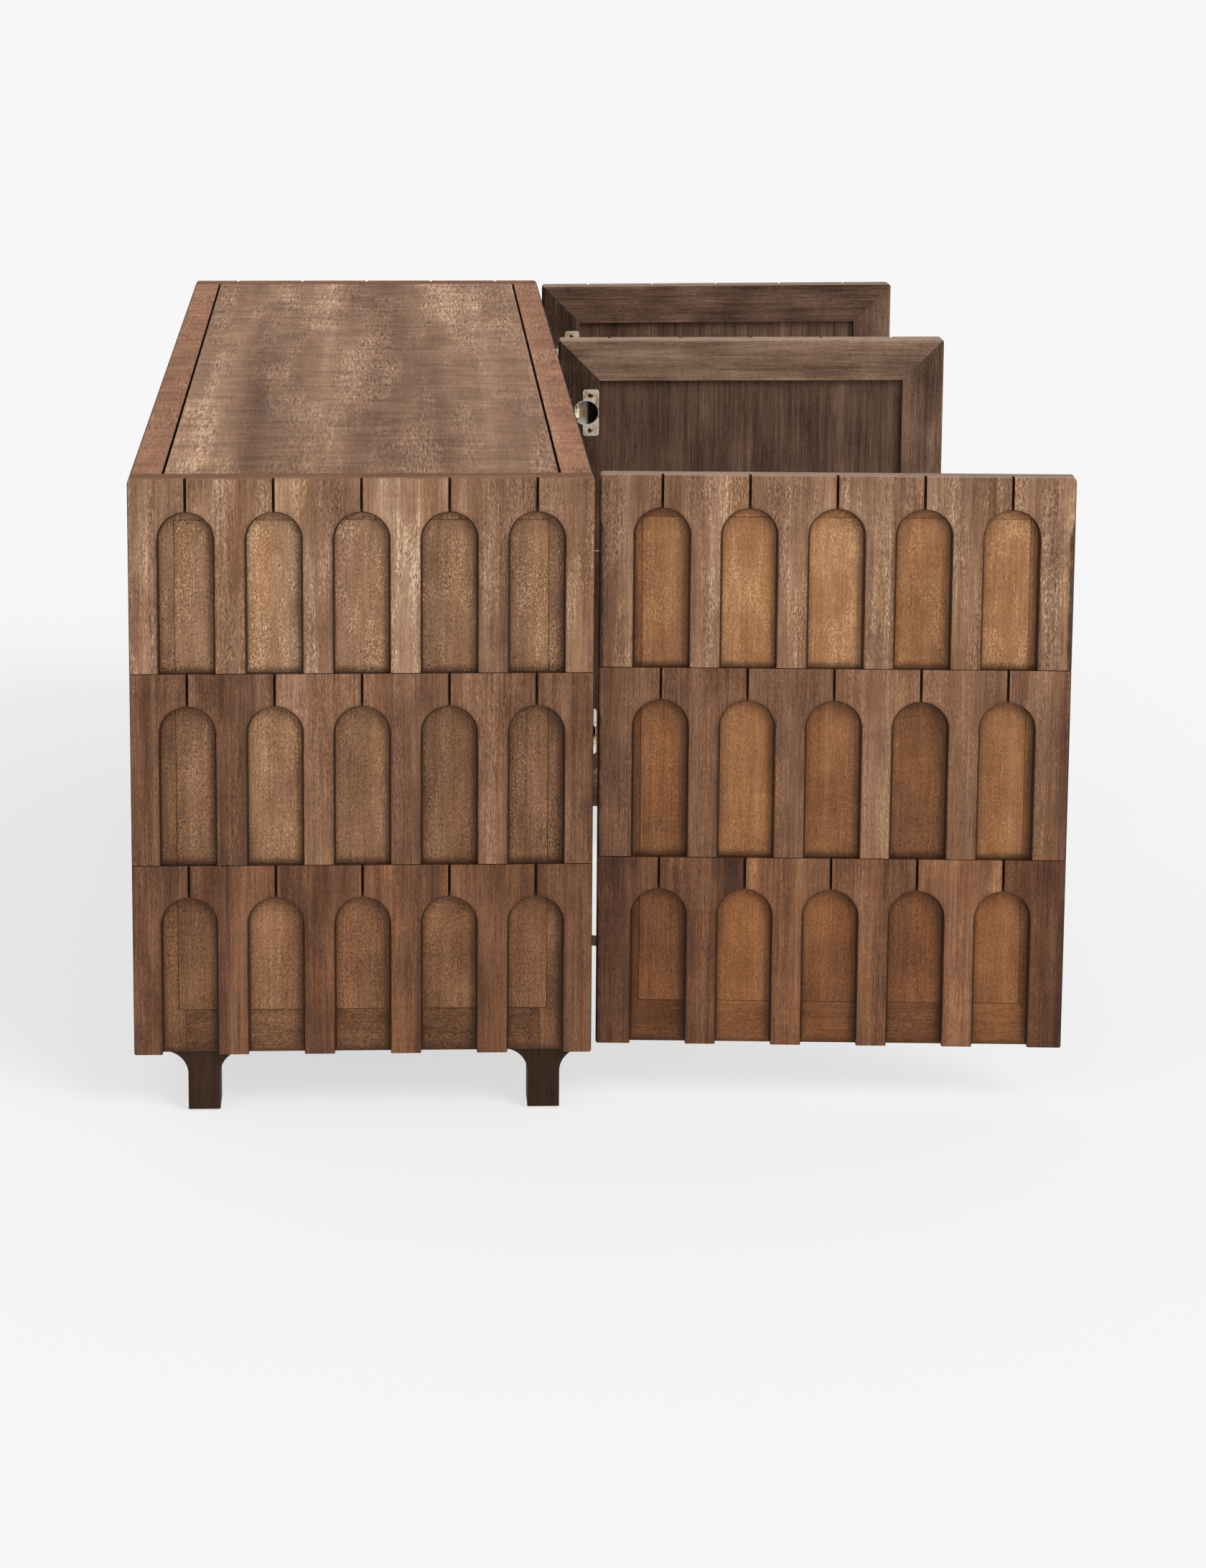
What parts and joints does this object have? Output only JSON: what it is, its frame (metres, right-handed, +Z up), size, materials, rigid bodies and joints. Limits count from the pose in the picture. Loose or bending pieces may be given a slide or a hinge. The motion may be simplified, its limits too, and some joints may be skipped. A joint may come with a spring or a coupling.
{
  "type": "sideboard",
  "caption": "Long low sideboard on flared legs, its hinged doors and ends clad in carved tiles that form rows of arches.",
  "frame": {"origin": "on the floor, at the middle of the box round the whole piece with its doors standing open as pictured", "axes": "+Z up; +X along the sideboard's length towards its far end; the doors open towards -Y, and the back faces +Y"},
  "size_m": [1.587, 1.0462, 0.727],
  "materials": {
    "top_wood": "satin, fine brushed grain",
    "carved_wood": "satin, rubbed brown with pale streaks",
    "frame_wood": "satin brown",
    "inner_wood": "satin brown",
    "leg_wood": "satin dark brown",
    "hinge_brass": "polished",
    "bolt_steel": "zinc plated",
    "dark_plastic": "matte"
  },
  "bodies": {
    "carcass": {"back_boards": "inner_wood", "bottom_board": "inner_wood", "bottom_rails": "inner_wood", "divider": "inner_wood", "door_bumpers": "dark_plastic", "far_end_board": "frame_wood", "far_end_rails": "frame_wood", "far_end_stiles": "carved_wood", "far_end_tiles_bottom": "carved_wood", "far_end_tiles_middle": "carved_wood", "far_end_tiles_top": "carved_wood", "far_hinge_post": "inner_wood", "glides": "dark_plastic", "hinge_plates_1": "hinge_brass", "hinge_plates_2": "hinge_brass", "hinge_plates_3": "hinge_brass", "leg_bolts": "bolt_steel", "leg_far_back": "leg_wood", "leg_far_front": "leg_wood", "leg_near_back": "leg_wood", "leg_near_front": "leg_wood", "middle_hinge_post": "inner_wood", "narrow_shelf": "inner_wood", "near_end_board": "frame_wood", "near_end_rails": "frame_wood", "near_end_stiles": "carved_wood", "near_end_tiles_bottom": "carved_wood", "near_end_tiles_middle": "carved_wood", "near_end_tiles_top": "carved_wood", "near_hinge_post": "inner_wood", "shelf_cleats": "inner_wood", "top_board": "top_wood", "top_cleats": "inner_wood", "top_rails": "top_wood", "wide_shelf": "inner_wood"},
    "hinge_arms_1": {"door_1_hinge_arms": "hinge_brass"},
    "door_1": {"door_1_board": "frame_wood", "door_1_hinge_cups": "hinge_brass", "door_1_rails": "frame_wood", "door_1_stiles": "carved_wood", "door_1_tiles_bottom": "carved_wood", "door_1_tiles_middle": "carved_wood", "door_1_tiles_top": "carved_wood"},
    "hinge_arms_2": {"door_2_hinge_arms": "hinge_brass"},
    "door_2": {"door_2_board": "frame_wood", "door_2_hinge_cups": "hinge_brass", "door_2_rails": "frame_wood", "door_2_stiles": "carved_wood", "door_2_tiles_bottom": "carved_wood", "door_2_tiles_middle": "carved_wood", "door_2_tiles_top": "carved_wood"},
    "hinge_arms_3": {"door_3_hinge_arms": "hinge_brass"},
    "door_3": {"door_3_board": "frame_wood", "door_3_hinge_cups": "hinge_brass", "door_3_rails": "frame_wood", "door_3_stiles": "carved_wood", "door_3_tiles_bottom": "carved_wood", "door_3_tiles_middle": "carved_wood", "door_3_tiles_top": "carved_wood"}
  },
  "joints": [
    {"name": "hinge_arms_1_turn", "type": "hinge", "parent": "carcass", "child": "hinge_arms_1", "pos_m": [-0.7198, 0.02119, 0.3975], "axis": [0, 0, -1], "range_deg": [-5.86, 42.81]},
    {"name": "door_1_turn", "type": "hinge", "parent": "hinge_arms_1", "child": "door_1", "pos_m": [-0.74193, -0.02343, 0.3975], "axis": [0, 0, -1], "range_deg": [-135.51, 17.16]},
    {"name": "hinge_arms_2_turn", "type": "hinge", "parent": "carcass", "child": "hinge_arms_2", "pos_m": [0.1908, 0.02119, 0.3975], "axis": [0, 0, 1], "range_deg": [-7.22, 41.45]},
    {"name": "door_2_turn", "type": "hinge", "parent": "hinge_arms_2", "child": "door_2", "pos_m": [0.21398, -0.02289, 0.3975], "axis": [0, 0, 1], "range_deg": [-131.15, 21.52]},
    {"name": "hinge_arms_3_turn", "type": "hinge", "parent": "carcass", "child": "hinge_arms_3", "pos_m": [0.7198, 0.02119, 0.3975], "axis": [0, 0, 1], "range_deg": [-6.22, 42.45]},
    {"name": "door_3_turn", "type": "hinge", "parent": "hinge_arms_3", "child": "door_3", "pos_m": [0.74221, -0.02329, 0.3975], "axis": [0, 0, 1], "range_deg": [-134.35, 18.32]}
  ],
  "couplings": [
    {"joint": "hinge_arms_1_turn", "follows": "door_1_turn", "ratio": -0.31224},
    {"joint": "hinge_arms_2_turn", "follows": "door_2_turn", "ratio": -0.31224},
    {"joint": "hinge_arms_3_turn", "follows": "door_3_turn", "ratio": -0.31224}
  ]
}
